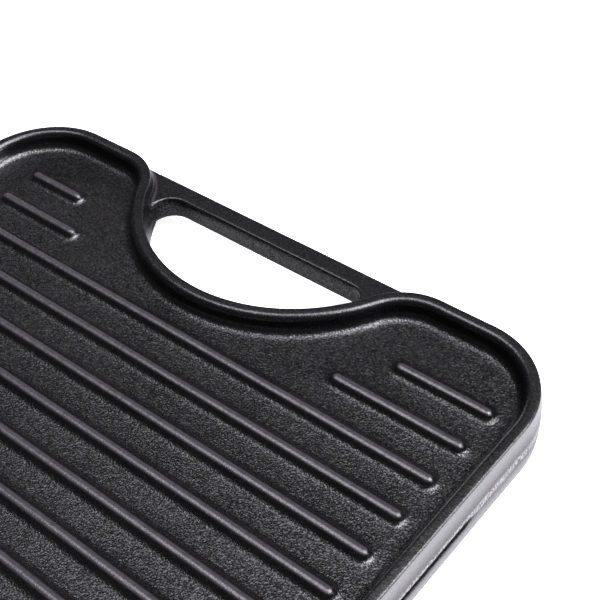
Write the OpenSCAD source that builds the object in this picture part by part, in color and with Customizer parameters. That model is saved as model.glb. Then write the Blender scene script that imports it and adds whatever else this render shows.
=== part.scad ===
// Reversible cast-iron griddle plate: one casting with a raised rim, a ribbed face,
// a smooth underside and a hand hole with a straight handle bar at each end.
// Frame: X runs along the ribs, Y along the plate, +Z up with the ribbed face on top.
// The origin is the middle of the plate on the plane that it rests on.

/* [Plate] */
// Overall width
plate_w = 242; // [236:1:254]
// Overall thickness, rim to rim
plate_t = 18.8; // [17:0.2:22]
// Thickness of the floor between the two recessed faces
web_t = 5; // [4:0.5:6]
// Radius of the four outer corners
corner_r = 30.8; // [26:0.2:36]

/* [Rim] */
// Width of the rim at the height of the handle bars
rim_w = 5.3; // [5:0.1:8]
// How far the rim above and below the bars stands in from the outline
rim_step = 0.5; // [0.3:0.1:1.2]

/* [Ribs] */
// Number of rib rows along the plate
rib_rows = 25; // [21:2:27]
// Distance between neighbouring rib rows
rib_pitch = 15.2; // [14:0.1:16]
// Height of a rib above the floor
rib_h = 2.3; // [1.6:0.1:3]
// Width of a rib where it meets the floor
rib_foot_w = 7.6; // [6:0.2:9]
// Width of a rib along its crest
rib_crest_w = 2.4; // [1.6:0.2:3.6]
// Reach of the ribs from the middle towards +X
rib_reach_right = 109.4; // [104:0.2:109.6]
// Reach of the ribs from the middle towards -X, shorter to leave a drain channel
rib_reach_left = 100; // [94:0.2:109]
// Distance from the middle to the inner ends of the first and last rows
row_1_gap = 70.4; // [68:0.2:80]
// Distance from the middle to the inner ends of the second row from each end
row_2_gap = 57; // [54:0.2:66]
// Distance from the first rib row to the end of the plate
end_margin = 27.9; // [27:0.1:34]

/* [Hand holes] */
// Radius of the curved inner side of a hand hole
hole_arc_r = 57.7; // [54:0.1:60]
// Distance from the end of the plate to the deepest point of that curve
hole_depth = 41.3; // [38:0.1:44]
// Radius of the shoulders on either side of a hand hole
shoulder_r = 23.8; // [22:0.1:27]
// Radius of the two corners where a hand hole meets the handle bar
hole_corner_r = 7.6; // [5:0.2:9]

/* [Handle bars] */
// Width of a bar
bar_w = 7.6; // [7:0.2:10]
// Thickness of a bar
bar_t = 8.4; // [7:0.2:10]
// How far a bar's outer face stands in from the end of the plate
bar_setback = 0.2; // [0.2:0.1:1.5]

/* [Gate scar] */
// Distance from the +Y end of the plate to the start of the scar
scar_start = 55; // [50:1:120]
// Length of the scar left where the metal was poured in
scar_l = 90; // [40:1:140]
// Height of the scar
scar_h = 2.6; // [1:0.1:3]
// How far the scar's centre line lies below the middle of the plate's thickness
scar_drop = 1.6; // [0:0.1:2]
// Depth of the scar
scar_d = 0.9; // [0.5:0.1:1.2]

/* [Hidden] */
$fn = 96;
iron = [0.11, 0.11, 0.12];
// Overlap that lets joined pieces share volume and cuts run clear
lap = 1;

half_w = plate_w / 2;
row_1_y = (rib_rows - 1) / 2 * rib_pitch;
half_l = row_1_y + end_margin;
mid_z = plate_t / 2;
floor_z = mid_z + web_t / 2;
under_z = mid_z - web_t / 2;

// Centres of the arcs that make up one quarter of the outline
corner_x = half_w - corner_r;
corner_y = half_l - corner_r;
shoulder_y = half_l - shoulder_r;
hole_y = half_l - hole_depth + hole_arc_r;
shoulder_x = sqrt(pow(hole_arc_r + shoulder_r, 2) - pow(hole_y - shoulder_y, 2));

// Bar faces, and the centres of the rounds in the hand hole's corners
bar_out_y = half_l - bar_setback;
bar_in_y = bar_out_y - bar_w;
hole_corner_y = bar_in_y - hole_corner_r;
hole_corner_x = sqrt(pow(hole_arc_r - hole_corner_r, 2) - pow(hole_y - hole_corner_y, 2));
// From the curve's centre to just past the curve, as a multiple of the way to a round's centre
past_curve = (hole_arc_r + lap) / (hole_arc_r - hole_corner_r);

// Copies at both ends
module ends() {
  for (my = [0, 1])
    mirror([0, my, 0]) children();
}

// Copies in all four corners
module quarters() {
  for (mx = [0, 1])
    mirror([mx, 0, 0]) ends() children();
}

// Plate outline without the handle bars, drawn in by inset all round
module plate_plan(inset) {
  difference() {
    union() {
      square([2 * (half_w - inset), 2 * corner_y], center = true);
      square([2 * corner_x, 2 * shoulder_y], center = true);
      quarters() {
        translate([corner_x, corner_y]) circle(r = corner_r - inset);
        translate([shoulder_x, shoulder_y]) circle(r = shoulder_r - inset);
        translate([shoulder_x, 0]) square([corner_x - shoulder_x, half_l - inset]);
        polygon([[0, shoulder_y], [shoulder_x, shoulder_y], [0, hole_y]]);
      }
    }
    ends() translate([0, hole_y]) circle(r = hole_arc_r + inset);
  }
}

// What a corner round leaves solid between a hand hole's curve and the handle bar
module hole_corner_plan() {
  difference() {
    polygon([
      [hole_corner_x, hole_corner_y],
      [0, hole_y] + past_curve * [hole_corner_x, hole_corner_y - hole_y],
      [hole_arc_r + lap, bar_in_y + lap],
      [hole_corner_x, bar_in_y + lap]
    ]);
    translate([hole_corner_x, hole_corner_y]) circle(r = hole_corner_r);
  }
}

// Plan of one hand hole: the curve, closed by the bar and two corner rounds
module hand_hole_plan() {
  reach = hole_arc_r + lap;
  difference() {
    translate([0, hole_y]) circle(r = hole_arc_r);
    translate([-reach, bar_in_y]) square(2 * reach);
    for (mx = [0, 1])
      mirror([mx, 0, 0]) hole_corner_plan();
  }
}

// Plan of one handle bar and the webs that carry it into the shoulders
module handle_plan() {
  difference() {
    translate([-shoulder_x, shoulder_y]) square([2 * shoulder_x, bar_out_y - shoulder_y]);
    hand_hole_plan();
  }
}

// A plan drawn up between two heights
module upright(from_z, to_z) {
  translate([0, 0, from_z]) linear_extrude(height = to_z - from_z) children();
}

// Plate, rim and handle bars, with a recess in each face
module body() {
  difference() {
    union() {
      upright(0, plate_t) plate_plan(rim_step);
      upright(mid_z - bar_t / 2, mid_z + bar_t / 2) plate_plan(0);
      upright(mid_z - bar_t / 2, mid_z + bar_t / 2) ends() handle_plan();
    }
    upright(floor_z, plate_t + lap) plate_plan(rim_w);
    upright(-lap, under_z) plate_plan(rim_w);
  }
}

// One rib between the X positions of its two ends
module rib(from_x, to_x) {
  foot_r = rib_foot_w / 2;
  crest_r = rib_crest_w / 2;
  length = to_x - from_x - rib_foot_w;
  translate([from_x + foot_r, 0, floor_z - lap]) {
    rotate([90, 0, 90]) linear_extrude(height = length)
      polygon([
        [-foot_r, 0], [foot_r, 0], [foot_r, lap],
        [crest_r, lap + rib_h], [-crest_r, lap + rib_h], [-foot_r, lap]
      ]);
    for (x = [0, length])
      translate([x, 0, 0]) {
        cylinder(h = lap, r = foot_r);
        translate([0, 0, lap]) cylinder(h = rib_h, r1 = foot_r, r2 = crest_r);
      }
  }
}

// A row that a hand hole splits in two
module split_row(gap) {
  rib(gap, rib_reach_right);
  rib(-rib_reach_left, -gap);
}

module ribs() {
  for (row = [2 : rib_rows - 3])
    translate([0, row_1_y - row * rib_pitch, 0]) rib(-rib_reach_left, rib_reach_right);
  ends() {
    translate([0, row_1_y, 0]) split_row(row_1_gap);
    translate([0, row_1_y - rib_pitch, 0]) split_row(row_2_gap);
  }
}

// Shallow groove along the +X side
module gate_scar() {
  translate([
    half_w - scar_d,
    half_l - scar_start - scar_l,
    mid_z - scar_drop - scar_h / 2
  ]) cube([scar_d + lap, scar_l, scar_h]);
}

module griddle_casting() {
  color(iron) difference() {
    union() {
      body();
      ribs();
    }
    gate_scar();
  }
}

griddle_casting();
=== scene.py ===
"""Looks of the reversible griddle plate: one closed mesh for the whole casting, its cast-iron
material, a pale studio and the camera.

Lengths are in millimetres, with Z up from the table, until the mesh is handed to Blender. The
+Y end's handle is worked out once and turned round for the -Y end."""

import math

import bmesh
import bpy
import numpy as np
from mathutils import Matrix, Vector, noise
from mathutils.geometry import delaunay_2d_cdt


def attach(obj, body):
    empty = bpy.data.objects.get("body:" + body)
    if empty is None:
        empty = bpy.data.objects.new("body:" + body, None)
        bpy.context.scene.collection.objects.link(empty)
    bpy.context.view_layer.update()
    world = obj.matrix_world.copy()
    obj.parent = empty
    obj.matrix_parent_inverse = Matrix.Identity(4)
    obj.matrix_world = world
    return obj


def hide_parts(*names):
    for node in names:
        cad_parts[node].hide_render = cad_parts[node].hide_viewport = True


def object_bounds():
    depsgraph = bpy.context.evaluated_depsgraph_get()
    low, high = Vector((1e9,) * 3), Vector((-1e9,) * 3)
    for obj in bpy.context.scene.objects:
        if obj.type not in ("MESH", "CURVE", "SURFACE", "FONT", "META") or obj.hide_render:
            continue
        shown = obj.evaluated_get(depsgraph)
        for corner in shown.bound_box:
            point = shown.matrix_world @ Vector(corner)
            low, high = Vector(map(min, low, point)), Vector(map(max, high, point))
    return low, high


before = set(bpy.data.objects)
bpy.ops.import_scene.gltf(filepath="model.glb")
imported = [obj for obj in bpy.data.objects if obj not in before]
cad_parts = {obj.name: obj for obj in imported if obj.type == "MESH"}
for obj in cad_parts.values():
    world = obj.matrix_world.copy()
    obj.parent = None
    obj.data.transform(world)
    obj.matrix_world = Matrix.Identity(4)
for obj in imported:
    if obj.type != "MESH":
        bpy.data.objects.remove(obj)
cad_low, cad_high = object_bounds()

MM = 0.001

# ---------------------------------------------------------------- plan of the casting
HALF_W = cad_high.x / MM
HALF_L = cad_high.y / MM
THICK = cad_high.z / MM
MID = THICK / 2

# Radii of the plate's corners, of the shoulders where its end turns in to the hand hole, of the
# hand hole's curve, and of the hand hole's two corners
CORNER_R = 30.8
SHOULDER_R = 23.8
HOLE_R = 57.7
HOLE_CORNER_R = 7.6
# The curve's deepest point, in from the plate's end
HOLE_DEPTH = 41.3
# The handle bar's width, thickness, and how far it lies in from the plate's end
BAR_W = 7.6
BAR_T = 8.4
BAR_SETBACK = 0.2
BAR_OUT = HALF_L - BAR_SETBACK
BAR_IN = BAR_OUT - BAR_W

# Centres of the arcs in the outline's quarter at +X and +Y
corner = np.array([HALF_W - CORNER_R, HALF_L - CORNER_R])
hole = np.array([0.0, HALF_L - HOLE_DEPTH + HOLE_R])


def beside_hole(y, reach):
    """The point at this y, on the +X side, whose distance from the hole's centre is reach."""
    return np.array([math.sqrt(reach ** 2 - (hole[1] - y) ** 2), y])


shoulder = beside_hole(HALF_L - SHOULDER_R, HOLE_R + SHOULDER_R)
hole_corner = beside_hole(BAR_IN - HOLE_CORNER_R, HOLE_R - HOLE_CORNER_R)

# Angles where one curve of the outline hands over to the next: shoulder to bar, shoulder to hole,
# and hole to its corner
ANGLE_BAR = 180 - math.degrees(math.asin((BAR_OUT - shoulder[1]) / SHOULDER_R))
ANGLE_HOLE = math.degrees(math.atan2(hole[1] - shoulder[1], shoulder[0]))
ANGLE_ROUND = math.degrees(math.atan2(hole[1] - hole_corner[1], hole_corner[0]))
# Where the bar's outer side meets the shoulders
BAR_END_X = shoulder[0] + SHOULDER_R * math.cos(math.radians(ANGLE_BAR))

# ---------------------------------------------------------------- sections, heights above the middle
# The upright band round the parting line, and the heights of its rows of vertices, which are
# closer together at the gate scar
BAND_H = 1.5
BAND_ROWS = (BAND_H, 0.9, 0.3, -0.15, -0.4, -0.75, -1.1, -BAND_H)
# The rim, from the outside in: a drafted wall, a rounded edge, a flat land, a round inner side
# and a foot fillet on the floor. The ends are distances in from the outline
RIM_H = THICK / 2
FLOOR_H = 2.5
WALL_DRAFT = 0.7
RIM_EDGE_R = 0.6
LAND_MIDDLE = 2.2
LAND_END = 3.2
RIM_ROUND_R = 2.2
RIM_FOOT_R = 3.3
RIM_FOOT_END = 8.8
# The handle bar: its draft, its rounded edges, and its fillet with the rim's outer wall
BAR_DRAFT = 0.3
BAR_EDGE_IN = 0.6
BAR_EDGE_OUT = 0.45
BAR_FILLET = 2.8
# The bar's fillet fades out over this distance from the bar's sides
BAR_FILLET_FADE = 1.4
# The ground finish of the outer wall fades between these, along X from the shoulders' centres
GROUND_FADE = (-4, 8)

# ---------------------------------------------------------------- ribs
RIB_ROWS = 25
RIB_PITCH = 15.2
RIB_H = 2.3
# The section: half the crest's flat, the crest's and the foot's radii, the slope between them in
# degrees, and half the width at the foot
RIB_CREST = 0.05
RIB_CREST_R = 2.4
RIB_FOOT_R = 2.9
RIB_SLOPE = 55.0
RIB_FOOT = 4.3
# Just above the crests
RIB_TOP = FLOOR_H + RIB_H + 0.1
# Where the spines of the ribs end on each side
RIB_RIGHT = 105.6
RIB_LEFT = -96.2
# Half the gap at the hand hole, in the outermost row and the one next to it
ROW_GAPS = (74.2, 60.8)

# ---------------------------------------------------------------- gate scar on the +X side
# Its two ends along Y
SCAR_START = HALF_L - 55
SCAR_END = SCAR_START - 90
# The height of its middle, half its width, its depth, and the length of its tapering tip
SCAR_H = -1.6
SCAR_HALF = 1.35
SCAR_DEPTH = 0.75
SCAR_TIP = 9.0
# The tip's width as a share of the whole, and the length over which the other end stops
SCAR_TIP_SHARE = 0.25
SCAR_STOP = 2.0
# Vertices further out than this are on the +X side
SCAR_FACE = HALF_W - 1

# ---------------------------------------------------------------- spacing of the vertices
# Along the plate's straight sides, beside the scar, along its ends, and round its wide arcs
STEP_SIDE = 2.6
STEP_SCAR = 0.7
STEP_END = 2.0
STEP_ARC = 1.2
# Round the arcs beside the handle, along its bar, and along the ribs
STEP_WEB = 0.8
STEP_BAR = 1.6
STEP_RIB = 3.0
# Points round a rib's end, and on each arc of its section
RIB_END_POINTS = 15
RIB_ARC_POINTS = 6
# Grids of loose vertices on the floors of the two faces, and how far they keep from the ribs
GRID_TOP = 4.0
GRID_UNDER = 6.0
RIB_CLEAR = 1.5
# Length either side of the scar that also has the scar's close vertices
SCAR_CLEAR = 4.0
# Rows of loose vertices on a handle: in from the bar's rounded edges, along the middle of its
# top, and out from the plate's wall
BAR_FLAT_ROWS = (0.25, 0.8)
BAR_TOP_ROWS = (3.0, 4.3)
WEB_ROWS = (0.35, 0.8, 1.3, 1.8, 2.3, 3.4, 4.8, 6.4)
# How close those come to the handle's edges, and the least squares of the distance from one to
# the next: within the zone at the edges, and on the flat
EDGE_CLEAR = 0.12
EDGE_ZONE = 1.1
EDGE_GAP_SQUARED = 0.02
FLAT_GAP_SQUARED = 0.16
# Those nearer to the middle than this have no mirror image
MIDDLE_CLEAR = 0.3


# ---------------------------------------------------------------- outline
def line(a, b, step, normal):
    """Points from a up to but not including b, with one inward normal."""
    a, b = np.array(a, float), np.array(b, float)
    n = max(1, math.ceil(np.linalg.norm(b - a) / step))
    t = np.arange(n)[:, None] / n
    return a + (b - a) * t, np.tile(np.array(normal, float), (n, 1))


def arc(centre, radius, start, end, step, inward):
    """Points on an arc, the last one left out. inward is -1 where the metal is on the centre's side."""
    n = max(2, math.ceil(abs(math.radians(end - start)) * radius / step))
    a = np.radians(start + (end - start) * np.arange(n) / n)
    u = np.stack([np.cos(a), np.sin(a)], 1)
    return centre + radius * u, inward * u


def quadrant(scar):
    """One quarter of the plate's outline from the middle of the +X side round to the hand hole,
    as points, inward normals and a mark on those that the handle bar's webs join."""
    stops = [0, SCAR_END - SCAR_CLEAR, SCAR_START + SCAR_CLEAR, corner[1]] if scar else [0, corner[1]]
    plain = []
    for i, (a, b) in enumerate(zip(stops, stops[1:])):
        step = STEP_SCAR if scar and i == 1 else STEP_SIDE
        plain.append(line((HALF_W, a), (HALF_W, b), step, (-1, 0)))
    plain.append(arc(corner, CORNER_R, 0, 90, STEP_ARC, -1))
    plain.append(line((corner[0], HALF_L), (shoulder[0], HALF_L), STEP_END, (0, -1)))
    plain.append(arc(shoulder, SHOULDER_R, 90, ANGLE_BAR, STEP_WEB, -1))
    joined = [
        arc(shoulder, SHOULDER_R, ANGLE_BAR, 180 - ANGLE_HOLE, STEP_WEB, -1),
        arc(hole, HOLE_R, -ANGLE_HOLE, -ANGLE_ROUND, STEP_WEB, 1),
    ]
    last = [arc(hole, HOLE_R, -ANGLE_ROUND, -90, STEP_ARC, 1)]
    p = np.concatenate([part[0] for part in plain + joined + last])
    n = np.concatenate([part[1] for part in plain + joined + last])
    lengths = [sum(len(part[0]) for part in group) for group in (plain, joined, last)]
    web = np.repeat([False, True, False], lengths)
    # The web's run closes on the first point after its last arc
    web[np.flatnonzero(web)[-1] + 1] = True
    return p, n, web


def reflected(part, signs, backwards):
    """A quarter of the outline without its first point, reflected and perhaps run backwards."""
    p, n, web = (a[:0:-1] if backwards else a[1:] for a in part)
    return p * signs, n * signs, web


def outline():
    """The whole outline, anticlockwise from the middle of the +X side."""
    off = np.array([False])
    deepest = np.array([[0.0, hole[1] - HOLE_R]])
    metal_side = np.array([[0.0, -1.0]])
    quarter = quadrant(False)
    parts = [
        quadrant(True),
        (deepest, metal_side, off),
        reflected(quarter, (-1, 1), True),
        (np.array([[-HALF_W, 0.0]]), np.array([[1.0, 0.0]]), off),
        reflected(quarter, (-1, -1), False),
        (-deepest, -metal_side, off),
        reflected(quarter, (1, -1), True),
    ]
    return tuple(np.concatenate(group) for group in zip(*parts))


# ---------------------------------------------------------------- height functions
def smooth(x, lo, hi):
    """0 below lo, 1 above hi, and a smooth rise between."""
    t = np.clip((np.asarray(x, float) - lo) / (hi - lo), 0, 1)
    return t * t * (3 - 2 * t)


def rim_height(d):
    """Height of the rim's section at a distance d in from the outline."""
    d = np.asarray(d, float)
    edge_z = RIM_H - RIM_EDGE_R
    wall = BAND_H + (edge_z - BAND_H) * np.sqrt(np.clip(d / WALL_DRAFT, 0, 1))
    e = np.clip(1 - (d - WALL_DRAFT) / RIM_EDGE_R, 0, 1)
    edge = edge_z + RIM_EDGE_R * np.sqrt(1 - e * e)
    r = np.clip((d - LAND_END) / RIM_ROUND_R, 0, 1)
    inner = RIM_H - RIM_ROUND_R * (1 - np.sqrt(1 - r * r))
    inner_end = LAND_END + RIM_ROUND_R
    foot_start = RIM_FOOT_END - RIM_FOOT_R
    drop_a, drop_b = RIM_H - RIM_ROUND_R, FLOOR_H + RIM_FOOT_R
    drop = drop_a + (drop_b - drop_a) * np.clip((d - inner_end) / (foot_start - inner_end), 0, 1)
    f = np.clip((RIM_FOOT_END - d) / RIM_FOOT_R, 0, 1)
    foot = FLOOR_H + RIM_FOOT_R * (1 - np.sqrt(1 - f * f))
    out = np.where(d < WALL_DRAFT, wall, edge)
    out = np.where(d > LAND_END, inner, out)
    out = np.where(d > inner_end, drop, out)
    return np.where(d > foot_start, foot, out)


def rim_rings():
    """Distances in from the outline of the rim's rings of vertices. The wall's are at shares of
    its height, close together next to the band, where the gate scar reaches."""
    wall = [WALL_DRAFT * t * t for t in (0, 0.07, 0.14, 0.21, 0.33, 0.46, 0.60, 0.73, 0.87, 1.0)]
    edge = [WALL_DRAFT + RIM_EDGE_R * (1 - math.cos(math.radians(a))) for a in (25, 50, 70, 90)]
    land = [LAND_MIDDLE, LAND_END]
    inner = [LAND_END + RIM_ROUND_R * math.sin(math.radians(a)) for a in range(12, 91, 13)]
    foot = [RIM_FOOT_END - RIM_FOOT_R * math.cos(math.radians(a)) for a in (*range(0, 79, 13), 90)]
    return wall + edge + land + inner + foot


def edge_height(t, radius):
    """Height of the handle bar's section at a distance t in from one of its sides."""
    t = np.asarray(t, float)
    top = BAR_T / 2
    wall = BAND_H + (top - radius - BAND_H) * np.clip(t / BAR_DRAFT, 0, 1)
    e = np.clip(1 - (t - BAR_DRAFT) / radius, 0, 1)
    return np.where(t < BAR_DRAFT, wall, top - radius + radius * np.sqrt(1 - e * e))


def edge_rings(radius):
    """Distances in from the bar's side of its rows of vertices: round the edge, then on the flat."""
    rings = [BAR_DRAFT + radius * (1 - math.cos(math.radians(a))) for a in (0, 50, 90)]
    return rings + [rings[-1] + gap for gap in BAR_FLAT_ROWS]


def to_right(p):
    """Points brought to the +X side."""
    return np.abs(p * [1, 0]) + p * [0, 1]


def hole_distance(p):
    """Distance from points in the metal to the hand hole at the +Y end."""
    q = to_right(p)
    to_round = np.linalg.norm(q - hole_corner, axis=1) - HOLE_CORNER_R
    to_curve = np.linalg.norm(q - hole, axis=1) - HOLE_R
    to_bar = q[:, 1] - BAR_IN
    rel = q - hole_corner
    above = (q[:, 0] <= hole_corner[0]) & (rel[:, 1] > 0)
    away = hole_corner - hole
    beyond = rel[:, 0] * away[1] - rel[:, 1] * away[0] > 0
    return np.where(above, to_bar, np.where(beyond, to_curve, to_round))


def outline_distance(p):
    """Signed distance in from the plate's outline near the hand hole's shoulders, at the +Y end."""
    q = to_right(p)
    cross = shoulder[0] * (q[:, 1] - hole[1]) - (shoulder[1] - hole[1]) * q[:, 0]
    in_shoulder = SHOULDER_R - np.linalg.norm(q - shoulder, axis=1)
    in_curve = np.linalg.norm(q - hole, axis=1) - HOLE_R
    return np.where(cross > 0, in_shoulder, in_curve)


def web_height(p):
    """Height of the handle bar and its webs, with the fillet where they meet the rim's outer wall.
    The points are at the +Y end."""
    t_in, t_out = hole_distance(p), BAR_OUT - p[:, 1]
    base = np.minimum(edge_height(t_in, BAR_EDGE_IN), edge_height(t_out, BAR_EDGE_OUT))
    # In distance and height, the fillet's circle rests on the bar's top and touches the wall,
    # taken as straight
    wall_n = np.array([-(RIM_H - RIM_EDGE_R - BAND_H), WALL_DRAFT])
    wall_n /= np.linalg.norm(wall_n)
    centre_h = BAR_T / 2 + BAR_FILLET
    centre_d = (BAR_FILLET - (centre_h - BAND_H) * wall_n[1]) / wall_n[0]
    touch = centre_d - wall_n[0] * BAR_FILLET
    d = np.clip(outline_distance(p), centre_d, touch) - centre_d
    rise = BAR_FILLET - np.sqrt(np.maximum(BAR_FILLET ** 2 - d * d, 0))
    return base + rise * smooth(np.minimum(t_in, t_out), 0, BAR_FILLET_FADE)


# ---------------------------------------------------------------- mesh
class Mesh:
    """Vertices, faces and each vertex's mark for the ground wall, gathered before Blender."""

    def __init__(self):
        self.points = []
        self.ground = []
        self.faces = []
        self.count = 0

    def add(self, xy, z, ground=0.0):
        """Adds vertices and returns their numbers."""
        xy = np.asarray(xy, float).reshape(-1, 2)
        z = np.broadcast_to(np.asarray(z, float), (len(xy),))
        self.points.append(np.column_stack([xy, z]))
        self.ground.append(np.broadcast_to(np.asarray(ground, float), (len(xy),)))
        first = self.count
        self.count += len(xy)
        return np.arange(first, self.count)

    def strip(self, rows, closed):
        """Quads between neighbouring rows of equal length, as triangles where two corners meet."""
        for a, b in zip(rows, rows[1:]):
            a2, b2 = (np.roll(a, -1), np.roll(b, -1)) if closed else (a[1:], b[1:])
            a1, b1 = (a, b) if closed else (a[:-1], b[:-1])
            for quad in np.column_stack([a1, a2, b2, b1]).tolist():
                kept = [v for i, v in enumerate(quad) if v != quad[i - 1]]
                if len(kept) > 2:
                    self.faces.append(kept)

    def xy(self, ids):
        """Places in plan of the vertices with these numbers."""
        return np.concatenate(self.points)[ids, :2]


def inside(points, loop):
    """Which points are inside a closed loop."""
    hit = np.zeros(len(points), bool)
    x, y = points[:, 0], points[:, 1]
    for (x1, y1), (x2, y2) in zip(loop, np.roll(loop, -1, 0)):
        if y1 != y2:
            crosses = (y1 > y) != (y2 > y)
            hit ^= crosses & (x < (x2 - x1) * (y - y1) / (y2 - y1) + x1)
    return hit


def fill(mesh, outer, holes, extra):
    """Triangles that fill a loop of vertices around holes and through the extra vertices."""
    ids = np.concatenate([outer] + list(holes) + [extra]).astype(int)
    xy = mesh.xy(ids)
    edges, first = [], 0
    for loop in [outer] + list(holes):
        n = len(loop)
        edges += [(first + i, first + (i + 1) % n) for i in range(n)]
        first += n
    # Output type 0 is triangles out to the convex hull
    out = delaunay_2d_cdt([Vector(p) for p in xy.tolist()], edges, [], 0, 1e-7)
    back = [o[0] if o else -1 for o in out[3]]
    if min(back) < 0:
        raise RuntimeError("two edges of a filled area cross")
    tris = np.array([[back[v] for v in f] for f in out[2]])
    mid = xy[tris].mean(1)
    keep = inside(mid, xy[:len(outer)])
    first = len(outer)
    for loop in holes:
        part = xy[first:first + len(loop)]
        first += len(loop)
        near = keep & np.all((mid > part.min(0)) & (mid < part.max(0)), axis=1)
        near[near] = inside(mid[near], part)
        keep &= ~near
    mesh.faces += ids[tris[keep]].tolist()


def rib_section():
    """Distances out from the rib's spine and the heights there, from the foot up."""
    fall = math.radians(RIB_SLOPE)
    angles = np.linspace(0, fall, RIB_ARC_POINTS)
    crest = [(RIB_CREST + RIB_CREST_R * math.sin(a), -RIB_CREST_R * (1 - math.cos(a))) for a in angles]
    low = crest[-1][1] - RIB_FOOT_R * (1 - math.cos(fall))
    foot = [(RIB_FOOT - RIB_FOOT_R * math.sin(a), low + RIB_FOOT_R * (1 - math.cos(a)))
            for a in angles[-2::-1]]
    section = np.array(crest + foot)
    section[:, 1] = RIB_H * (1 - section[:, 1] / low)
    return section[::-1]


def rib(mesh, x0, x1, y):
    """One rib with rounded ends. Returns the loop round its foot."""
    n = max(3, math.ceil((x1 - x0) / STEP_RIB))
    xs = np.linspace(x0, x1, n)
    turn = np.radians(np.linspace(-90, 90, RIB_END_POINTS))
    cap = np.stack([np.cos(turn), np.sin(turn)], 1)
    up, middle = np.array([0.0, 1.0]), np.arange(n - 2, 0, -1)
    spine = np.concatenate([np.full(len(cap), n - 1), middle, np.zeros(len(cap), int), middle[::-1]])
    out = np.concatenate([cap, np.tile(up, (n - 2, 1)), -cap, np.tile(-up, (n - 2, 1))])
    base = np.stack([xs[spine], np.full(len(spine), y)], 1)
    rings = [mesh.add(base + out * r, MID + FLOOR_H + h) for r, h in rib_section()]
    top = mesh.add(np.stack([xs, np.full(n, y)], 1), MID + FLOOR_H + RIB_H)
    mesh.strip(rings + [top[spine]], True)
    return rings[0]


def all_ribs(mesh):
    """Every rib of the upper face. Returns the loops round their feet."""
    feet = []
    for row in range(RIB_ROWS):
        y = (RIB_ROWS - 1) / 2 * RIB_PITCH - row * RIB_PITCH
        from_end = min(row, RIB_ROWS - 1 - row)
        if from_end < len(ROW_GAPS):
            gap = ROW_GAPS[from_end]
            feet += [rib(mesh, gap, RIB_RIGHT, y), rib(mesh, RIB_LEFT, -gap, y)]
        else:
            feet.append(rib(mesh, RIB_LEFT, RIB_RIGHT, y))
    return feet


def grid_points(mesh, loop, holes, z, step):
    """Loose vertices inside a loop, clear of it and of the holes."""
    lo, hi = loop.min(0), loop.max(0)
    xs, ys = np.arange(lo[0] + step, hi[0], step), np.arange(lo[1] + step, hi[1], step)
    p = np.array([(x, y) for y in ys for x in xs])
    keep = inside(p, loop)
    for h in holes:
        box = (p > h.min(0) - RIB_CLEAR) & (p < h.max(0) + RIB_CLEAR)
        keep &= ~np.all(box, axis=1)
    # In chunks, to save memory
    for chunk in np.array_split(np.arange(len(loop)), 20):
        gap = np.linalg.norm(p[:, None] - loop[chunk][None], axis=2).min(1)
        keep &= gap > step * 0.5
    return mesh.add(p[keep], z)


def runs(marks):
    """Start and end positions of each run of marked points."""
    steps = np.diff(np.concatenate([[0], marks.astype(int), [0]]))
    return list(zip(np.flatnonzero(steps == 1), np.flatnonzero(steps == -1) - 1))


def hole_side():
    """Points at the +Y end from the +X web round the hand hole's corner to the bar's middle, with
    normals into the metal."""
    curve, curve_n = arc(hole_corner, HOLE_CORNER_R, -ANGLE_ROUND, 90, STEP_WEB, 1)
    side, side_n = line((hole_corner[0], BAR_IN), (0, BAR_IN), STEP_BAR, (0, 1))
    return np.concatenate([curve, side, [[0, BAR_IN]]]), np.concatenate([curve_n, side_n, [[0, 1]]])


def bar_side():
    """Points at the +Y end along the bar's outer side, from the +X web to the bar's middle."""
    side = line((BAR_END_X, BAR_OUT), (0, BAR_OUT), STEP_BAR, (0, -1))[0]
    return np.concatenate([side, [[0, BAR_OUT]]])


def handle_edges(mesh, sign):
    """Side vertices of one handle at each height of the band: round its hand hole from one web to
    the other, and back along its outer side."""
    hole_half, bar_half = hole_side()[0][1:], bar_side()[1:]
    inner = np.concatenate([hole_half, hole_half[-2::-1] * [-1, 1]]) * sign
    outer = np.concatenate([bar_half[:-1] * [-1, 1], bar_half[::-1]]) * sign
    return tuple([mesh.add(edge, MID + h) for h in BAND_ROWS] for edge in (inner, outer))


def thinned(points):
    """The points without those that come too close to one before them."""
    kept = []
    for q in points:
        edge = min(hole_distance(q[None])[0], BAR_OUT - q[1])
        least = EDGE_GAP_SQUARED if edge < EDGE_ZONE else FLAT_GAP_SQUARED
        if all((q[0] - k[0]) ** 2 + (q[1] - k[1]) ** 2 > least for k in kept):
            kept.append(q)
    return np.array(kept)


def handle_points(web, web_n):
    """Loose points on one handle's upper side, at the +Y end, following its edges and fillets.
    web holds the points where the handle's web on the +X side meets the plate."""
    inner, inner_n = hole_side()
    rows = [inner + inner_n * t for t in edge_rings(BAR_EDGE_IN)]
    rows += [bar_side() - [0, t] for t in edge_rings(BAR_EDGE_OUT)]
    rows += [bar_side() - [0, t] for t in BAR_TOP_ROWS]
    rows += [web - web_n * d for d in WEB_ROWS]
    p = np.concatenate(rows)
    t_in, t_out, d = hole_distance(p), BAR_OUT - p[:, 1], outline_distance(p)
    p = p[(t_in > EDGE_CLEAR) & (t_out > EDGE_CLEAR) & (d < -EDGE_CLEAR) & (p[:, 0] >= 0)]
    half = thinned(p)
    return np.concatenate([half, half[half[:, 0] > MIDDLE_CLEAR] * [-1, 1]])


def ground_share(p):
    """1 on the ground outer wall, and 0 where the outline turns in to the hand holes."""
    x, y = np.abs(p[:, 0]), np.abs(p[:, 1])
    share = smooth(x, shoulder[0] + GROUND_FADE[0], shoulder[0] + GROUND_FADE[1])
    share = np.where(y < corner[1], 1.0, share)
    return np.where(x < shoulder[0], 0.0, share)


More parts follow.
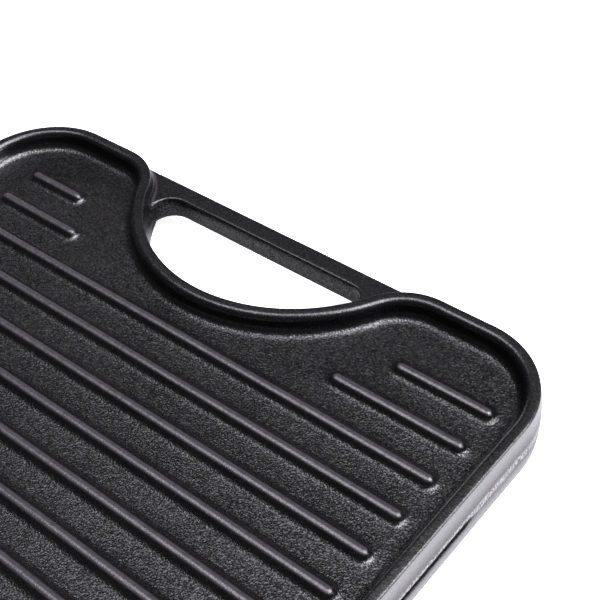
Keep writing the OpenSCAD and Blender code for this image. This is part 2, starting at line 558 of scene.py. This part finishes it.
def rim(mesh, p, n, joined, ground):
    """The rim of both faces as rings of vertices. joined marks the points where the outer wall
    rises out of a handle's web. Returns the rings of the upper and of the lower face."""
    top, low = [], []
    for d in rim_rings():
        at = p + n * d
        z = np.full(len(p), float(rim_height(d)))
        if d < WALL_DRAFT:
            at_plus_y = at * np.where(at[:, 1] > 0, 1, -1)[:, None]
            z = np.where(joined, np.maximum(z, web_height(at_plus_y)), z)
        mark = ground if d <= WALL_DRAFT else 0.0
        top.append(mesh.add(at, MID + z, mark))
        low.append(mesh.add(at, MID - z, mark))
    mesh.strip(top, True)
    mesh.strip(low[::-1], True)
    return top, low


def plate_side(mesh, rows, web_runs):
    """Upright side faces of the plate, left out where a web joins it."""
    count = len(rows[0])
    for i in range(count):
        j = (i + 1) % count
        if not any(a <= i and j <= b for a, b in web_runs if j > i):
            mesh.strip([row[[i, j]] for row in rows[::-1]], False)


def handle(mesh, sign, web_runs, loose, top, low, side_rows):
    """One handle: its upper and lower faces and its sides. web_runs holds the start and end
    positions of its two webs on the outline."""
    (a0, a1), (b0, b1) = web_runs
    inner, outer = handle_edges(mesh, sign)
    for ring, up, level in ((top[0], 1, 0), (low[0], -1, -1)):
        loop = np.concatenate([ring[a0:a1 + 1], inner[level], ring[b0:b1 + 1], outer[level]])
        extra = mesh.add(loose * sign, MID + up * web_height(loose))
        fill(mesh, loop, [], extra)
    for edges, start, end in ((inner, a1, b0), (outer, b1, a0)):
        rows = [np.concatenate([[row[start]], edge, [row[end]]]) for row, edge in zip(side_rows, edges)]
        mesh.strip(rows[::-1], False)


def build_sheets(mesh):
    """Every vertex and face of the casting."""
    p, n, web = outline()
    web_runs = runs(web)
    joined = np.zeros(len(p), bool)
    for a, b in web_runs:
        joined[a + 1:b] = True
    ground = ground_share(p)
    top, low = rim(mesh, p, n, joined, ground)
    side_rows = [top[0]] + [mesh.add(p, MID + h, ground) for h in BAND_ROWS[1:-1]] + [low[0]]
    plate_side(mesh, side_rows, web_runs)

    first_web = slice(web_runs[0][0], web_runs[0][1] + 1)
    loose = handle_points(p[first_web], n[first_web])
    handle(mesh, 1, web_runs[:2], loose, top, low, side_rows)
    handle(mesh, -1, web_runs[2:], loose, top, low, side_rows)

    feet = all_ribs(mesh)
    rim_loop = mesh.xy(top[-1])
    extra = grid_points(mesh, rim_loop, [mesh.xy(foot) for foot in feet], MID + FLOOR_H, GRID_TOP)
    fill(mesh, top[-1], feet, extra)
    extra = grid_points(mesh, rim_loop, [], MID - FLOOR_H, GRID_UNDER)
    fill(mesh, low[-1], [], extra)


# ---------------------------------------------------------------- unevenness
# How far the casting strays along each axis, and over what distance
WARPS = ((0.10, 34.0), (0.10, 31.0), (0.07, 26.0))


def lumps(points, size, seed):
    """Smooth noise from about -1 to 1 at each point, with features of the given size. Each seed
    shifts it to another place."""
    shift = Vector((seed * 17.3, seed * -9.1, seed * 5.7))
    return np.array([noise.noise(Vector(p) / size + shift) for p in points.tolist()])


def scar_depth(points):
    """How deep the broken gate bites into the +X side at each point, as a share of its depth."""
    along = smooth(points[:, 1], SCAR_END - SCAR_STOP, SCAR_END + SCAR_STOP)
    along *= smooth(-points[:, 1], -SCAR_START, -SCAR_START + SCAR_TIP)
    half_width = SCAR_HALF * (SCAR_TIP_SHARE + (1 - SCAR_TIP_SHARE) * along)
    off = np.abs(points[:, 2] - MID - SCAR_H) / half_width
    return (1 - smooth(off, 0.75, 1.05)) * along


def weather(points):
    """The casting's small unevenness, and the rough break of its gate. Returns the scar's mask."""
    moved = points.copy()
    for axis, (amount, size) in enumerate(WARPS):
        moved[:, axis] += amount * lumps(points, size, axis + 1)
    mask = np.zeros(len(points))
    y = points[:, 1]
    near = (points[:, 0] > SCAR_FACE) & (y > SCAR_END - SCAR_CLEAR) & (y < SCAR_START + SCAR_CLEAR)
    at_scar = points[near]
    mask[near] = scar_depth(at_scar)
    # The break has lumps of 1.7 mm, with finer ones of 0.8 mm on top
    rough = 0.75 + 0.6 * lumps(at_scar, 1.7, 5) + 0.35 * lumps(at_scar, 0.8, 6)
    moved[near, 0] -= SCAR_DEPTH * mask[near] * rough
    low, high = np.array(cad_low) / MM, np.array(cad_high) / MM
    return np.clip(moved, low, high), mask


def casting():
    """The whole casting as one closed Blender mesh."""
    mesh = Mesh()
    build_sheets(mesh)
    points, ground = np.concatenate(mesh.points), np.concatenate(mesh.ground)
    # Vertices that no face uses are left behind
    used = np.zeros(len(points), bool)
    used[np.unique(np.concatenate([np.array(f) for f in mesh.faces]))] = True
    new = np.cumsum(used) - 1
    points, scar = weather(points[used])
    data = bpy.data.meshes.new("cast_griddle")
    data.from_pydata((points * MM).tolist(), [], [new[f].tolist() for f in mesh.faces])
    for name, values in (("ground", ground[used]), ("scar", scar)):
        data.attributes.new(name, "FLOAT", "POINT").data.foreach_set("value", values.astype(np.float32))
    bm = bmesh.new()
    bm.from_mesh(data)
    bmesh.ops.recalc_face_normals(bm, faces=bm.faces)
    bm.to_mesh(data)
    bm.free()
    data.shade_smooth()
    return data


# ---------------------------------------------------------------- materials
# The iron's colours
SKIN_DARK = (0.0018, 0.0016, 0.0019)
SKIN_LIGHT = (0.0034, 0.0030, 0.0034)
DUST = (0.062, 0.058, 0.066)
WORN_SKIN = (0.034, 0.031, 0.037)
SPECK_DARK = (0.07, 0.068, 0.072)
SPECK_LIGHT = (0.56, 0.55, 0.57)
# Painted light on the outer wall above and below the ground band
WALL_PAINTED_LIGHT = (0.36, 0.355, 0.365)
SCAR_DARK = (0.003, 0.0028, 0.003)
# Its noises: features to the millimetre, levels of detail, and the finer levels' strength
PATCHES = (0.05, 3.0, 0.6)
SWELL = (0.16, 2.0, 0.5)
WEAR = (0.45, 4.0, 0.6)
BAND_EDGE = (0.5, 3.0, 0.5)
SMUDGES = (0.9, 3.0, 0.5)
CHIPS = (1.1, 5.0, 0.75)
SPARKLE = (1.3, 4.0, 0.7)
GLINTS = (1.9, 2.0, 0.5)
FINE_GRAIN = (2.4, 3.0, 0.6)
# Pebbles of the grain to the millimetre
PEBBLES = 1.5
# Height of the grain in mm, and the heights of the swell and the scar's chips as multiples of it
GRAIN_H = 0.085
SWELL_H = 1.2
CHIPS_H = 4.0
# How much of the dust's and the bare metal's colour shows, and how metallic bare metal is
DUST_SHARE = 0.6
BARE_SHARE = 0.85
BARE_METALLIC = 0.6
# Roughness: the least, what smudges add at most, and what the scar adds
ROUGH_LEAST = 0.20
ROUGH_SMUDGES = 0.14
ROUGH_SCAR = 0.4
# The floor's brightness, its brightness in reflections, and its glow for the camera
FLOOR_SHADE = 0.85
FLOOR_SHADE_IN_SHINE = 0.5
FLOOR_GLOW = 0.85


class Nodes:
    """Short calls for building a node tree."""

    def __init__(self, tree):
        self.tree = tree
        tree.nodes.clear()

    def add(self, kind, inputs=None, **settings):
        """A node, with links or values for its inputs."""
        node = self.tree.nodes.new("ShaderNode" + kind)
        for name, value in settings.items():
            setattr(node, name, value)
        for name, value in (inputs or {}).items():
            if hasattr(value, "links"):
                self.tree.links.new(value, node.inputs[name])
            else:
                node.inputs[name].default_value = value
        return node

    def math(self, operation, a, b=0.0):
        """The result of a Math node on one or two values."""
        return self.add("Math", {0: a, 1: b}, operation=operation).outputs[0]

    def times(self, a, b):
        """a multiplied by b."""
        return self.math("MULTIPLY", a, b)

    def ramp(self, value, low, high, to_low=0.0, to_high=1.0):
        """value mapped smoothly from low..high to to_low..to_high."""
        inputs = {"Value": value, "From Min": low, "From Max": high, "To Min": to_low, "To Max": to_high}
        return self.add("MapRange", inputs, interpolation_type="SMOOTHSTEP").outputs[0]

    def mix(self, share, a, b):
        """Colour a blended into colour b."""
        node = self.add("Mix", {0: share}, data_type="RGBA")
        for socket, value in ((node.inputs[6], a), (node.inputs[7], b)):
            if hasattr(value, "links"):
                self.tree.links.new(value, socket)
            else:
                socket.default_value = (*value, 1)
        return node.outputs[2]


class Iron(Nodes):
    """The cast iron's node tree, with the values that several of its parts read: the place in
    millimetres, the distance above or below the middle of the thickness, how level the surface is
    (1 where it lies flat, 0 where it is upright), the mesh's two marks, and the grain."""

    def __init__(self, tree):
        super().__init__(tree)
        place = self.add("TexCoord").outputs["Object"]
        self.mm = self.add("VectorMath", {0: place, 1: (1 / MM,) * 3}, operation="MULTIPLY").outputs[0]
        height = self.math("SUBTRACT", self.add("SeparateXYZ", {0: self.mm}).outputs[2], MID)
        normal = self.add("NewGeometry").outputs["Normal"]
        self.level = self.math("ABSOLUTE", self.add("SeparateXYZ", {0: normal}).outputs[2])
        self.ground = self.add("Attribute", attribute_name="ground").outputs["Fac"]
        self.scar = self.add("Attribute", attribute_name="scar").outputs["Fac"]
        self.above = self.math("ABSOLUTE", height)
        self.fine = self.texture(FINE_GRAIN)
        # Sand grain: full on the floor of each face, softer where ribs and rim rub clean
        self.coarse = self.ramp(self.above, FLOOR_H + 0.1, FLOOR_H + 1.3, 1.0, 0.3)

    def texture(self, kind):
        """One of the noises, from 0 to 1."""
        scale, detail, rough = kind
        inputs = {"Vector": self.mm, "Scale": scale, "Detail": detail, "Roughness": rough}
        return self.add("TexNoise", inputs).outputs[0]


def iron_relief(n):
    """Bumps of the sand grain, a slow swell, and the chipped break of the gate scar."""
    cells = {"Vector": n.mm, "Scale": PEBBLES, "Smoothness": 0.3, "Randomness": 1.0}
    pebbles = n.add("TexVoronoi", cells, feature="SMOOTH_F1").outputs["Distance"]
    grain = n.times(n.math("ADD", pebbles, n.fine), n.coarse)
    relief = n.math("ADD", grain, n.times(n.texture(SWELL), SWELL_H))
    relief = n.math("ADD", relief, n.times(n.texture(CHIPS), n.times(n.scar, CHIPS_H)))
    return n.add("Bump", {"Height": relief, "Strength": 1.0, "Distance": GRAIN_H * MM}).outputs[0]


def seasoning(n):
    """Colour of the seasoned skin: nearly black, with dust, and worn thin on the ribs' crests."""
    skin = n.mix(n.ramp(n.texture(PATCHES), 0.35, 0.65), SKIN_DARK, SKIN_LIGHT)
    dust = n.ramp(n.fine, 0.61, 0.72)
    skin = n.mix(n.times(dust, DUST_SHARE), skin, DUST)
    # Crests are near the ribs' full height, no higher, and face up
    crest = n.ramp(n.above, FLOOR_H + 1.75, FLOOR_H + 2.2)
    crest = n.times(crest, n.ramp(n.above, RIB_TOP, RIB_TOP + 0.3, 1.0, 0.0))
    crest = n.times(crest, n.ramp(n.level, 0.70, 0.92))
    wear = n.ramp(n.texture(WEAR), 0.2, 0.7, 0.6, 1.0)
    return n.mix(n.times(crest, wear), skin, WORN_SKIN)


def bare_metal(n):
    """Colour of the ground outer wall with painted light on it, and how much of it shows."""
    # The parting line, ground back to brighter metal in a speckled band with an uneven edge
    edge_noise = n.times(n.math("SUBTRACT", n.texture(BAND_EDGE), 0.5), 0.8)
    in_band = n.ramp(n.math("ADD", n.above, edge_noise), BAND_H - 0.15, BAND_H + 0.15, 1.0, 0.0)
    speckled = n.mix(n.ramp(n.texture(SPARKLE), 0.42, 0.56), SPECK_DARK, SPECK_LIGHT)
    # Above and below the band the wall gets painted light, most towards the rim's edge, and painted
    # shade near the band
    painted_wall_light_share = n.ramp(n.above, BAND_H + 0.9, RIM_H - 0.9, 0.26, 0.88)
    wall = n.times(n.ground, n.ramp(n.level, 0.35, 0.7, 1.0, 0.0))
    wall = n.times(wall, n.math("SUBTRACT", 1.0, n.scar))
    return n.mix(in_band, WALL_PAINTED_LIGHT, speckled), n.times(wall, n.math("MAXIMUM", in_band, painted_wall_light_share))


def iron_shine(n):
    """Strength of the reflection: more on ribs and rim than on the floor, less in the scar, and
    broken into glints where the grain is coarse."""
    glint = n.ramp(n.texture(GLINTS), 0.40, 0.64, 0.35, 2.1)
    glint = n.math("ADD", 1.0, n.times(n.math("SUBTRACT", glint, 1.0), n.coarse))
    shine = n.times(glint, n.ramp(n.above, FLOOR_H + 0.05, FLOOR_H + 0.4, 0.31, 0.55))
    return n.times(shine, n.ramp(n.scar, 0.1, 0.7, 1.0, 0.3))


def iron_material():
    """Seasoned cast iron with worn crests, a ground wall with painted light on it, and the gate's dark
    break.
    """
    material = bpy.data.materials.new("seasoned_iron")
    material.use_nodes = True
    n = Iron(material.node_tree)
    # Bare metal of the ground band, and painted light and shade on the rest of the outer wall
    bare_metal_and_painted_light, share = bare_metal(n)
    colour = n.mix(n.times(share, BARE_SHARE), seasoning(n), bare_metal_and_painted_light)
    colour = n.mix(n.ramp(n.scar, 0.1, 0.6), colour, SCAR_DARK)
    roughness = n.math("ADD", ROUGH_LEAST, n.times(n.texture(SMUDGES), ROUGH_SMUDGES))
    roughness = n.math("ADD", roughness, n.times(n.scar, ROUGH_SCAR))
    surface = n.add("BsdfPrincipled", {
        "Base Color": colour, "Roughness": roughness, "Normal": iron_relief(n),
        "Metallic": n.times(share, BARE_METALLIC), "Specular IOR Level": iron_shine(n)})
    n.add("OutputMaterial", {"Surface": surface.outputs[0]})
    return material


def floor_material():
    """Plain pale paint that glows for the camera, and is darker in the iron's reflections."""
    material = bpy.data.materials.new("pale_floor")
    material.use_nodes = True
    n = Nodes(material.node_tree)
    rays = n.add("LightPath").outputs
    surface = n.add("BsdfPrincipled", {
        "Base Color": n.ramp(rays["Is Glossy Ray"], 0, 1, FLOOR_SHADE, FLOOR_SHADE_IN_SHINE),
        "Roughness": 0.9, "Specular IOR Level": 0.0, "Emission Color": (1, 1, 1, 1),
        "Emission Strength": n.times(rays["Is Camera Ray"], FLOOR_GLOW)})
    n.add("OutputMaterial", {"Surface": surface.outputs[0]})
    return material


# ---------------------------------------------------------------- studio, in metres
# The floor reaches this far each way, this far below the casting
FLOOR_REACH = 6.0
FLOOR_GAP = 0.0002
# Name; azimuth from +X towards +Y, elevation and angle across, in degrees; and strength
LIGHTS = (
    ("overhead_left", 172, 71, 32, 1.65),
    ("overhead_right", 42, 64, 46, 6.5),
    ("right_side", 30, 15, 30, 2.0),
    ("backdrop", 146, 9, 18, 0.16),
)
LIGHT_TINT = (0.965, 0.95, 1.02)
# Brightness of the surroundings, which the camera sees as white
WORLD_GLOW = 0.06


def studio_floor():
    """A wide plain floor."""
    signs = ((-1, -1), (1, -1), (1, 1), (-1, 1))
    corners = [(x * FLOOR_REACH, y * FLOOR_REACH, -FLOOR_GAP) for x, y in signs]
    data = bpy.data.meshes.new("floor")
    data.from_pydata(corners, [], [(0, 1, 2, 3)])
    data.materials.append(floor_material())
    floor = bpy.data.objects.new("floor", data)
    bpy.context.scene.collection.objects.link(floor)


def soft_light(name, azimuth, elevation, spread, power):
    """A distant soft light, all of whose angles are in degrees."""
    light = bpy.data.lights.new(name, "SUN")
    light.energy, light.angle = power, math.radians(spread)
    light.color = LIGHT_TINT
    lamp = bpy.data.objects.new(name, light)
    bpy.context.scene.collection.objects.link(lamp)
    a, e = math.radians(azimuth), math.radians(elevation)
    towards = Vector((math.cos(a) * math.cos(e), math.sin(a) * math.cos(e), math.sin(e)))
    lamp.rotation_mode = "QUATERNION"
    lamp.rotation_quaternion = towards.to_track_quat("Z", "Y")


def studio():
    """The floor, the lights and the pale surroundings."""
    scene = bpy.context.scene
    studio_floor()
    for light in LIGHTS:
        soft_light(*light)
    world = bpy.data.worlds.new("studio")
    scene.world = world
    world.use_nodes = True
    n = Nodes(world.node_tree)
    seen = n.add("LightPath").outputs["Is Camera Ray"]
    glow = n.add("Background", {"Color": (1, 1, 1, 1), "Strength": n.ramp(seen, 0, 1, WORLD_GLOW, 1.0)})
    n.add("OutputWorld", {"Surface": glow.outputs[0]})
    scene.view_settings.view_transform = "Standard"


# ---------------------------------------------------------------- camera
# The point it looks at, level with the rim's top, and its distance from there in millimetres
CAM_TARGET = (33.37, HALF_L - 27.09, THICK)
CAM_DISTANCE = 385.01
# Where it stands from there (azimuth from +X towards +Y, and elevation), and its roll, in degrees
CAM_AZIMUTH = -46.620
CAM_ELEVATION = 43.551
CAM_ROLL = -5.596
# Focal length and sensor width in millimetres
CAM_LENS = 71.41
CAM_SENSOR = 36.0


def camera():
    """The camera at the photograph's viewing angle."""
    data = bpy.data.cameras.new("camera")
    data.sensor_width = CAM_SENSOR
    data.lens = CAM_LENS
    data.clip_start = 0.01
    view = bpy.data.objects.new("camera", data)
    bpy.context.scene.collection.objects.link(view)
    about = Matrix.Rotation(math.radians(90 + CAM_AZIMUTH), 4, "Z")
    tilt = Matrix.Rotation(math.radians(90 - CAM_ELEVATION), 4, "X")
    roll = Matrix.Rotation(math.radians(CAM_ROLL), 4, "Z")
    target = Matrix.Translation(Vector(CAM_TARGET) * MM)
    back = Matrix.Translation((0, 0, CAM_DISTANCE * MM))
    view.matrix_world = target @ about @ tilt @ back @ roll
    bpy.context.scene.camera = view


def griddle():
    """The visible casting, which stands for the only CAD node."""
    plate = bpy.data.objects.new("cast_griddle", casting())
    bpy.context.scene.collection.objects.link(plate)
    plate.data.materials.append(iron_material())
    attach(plate, "root")
    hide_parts("griddle_casting")


griddle()
studio()
camera()
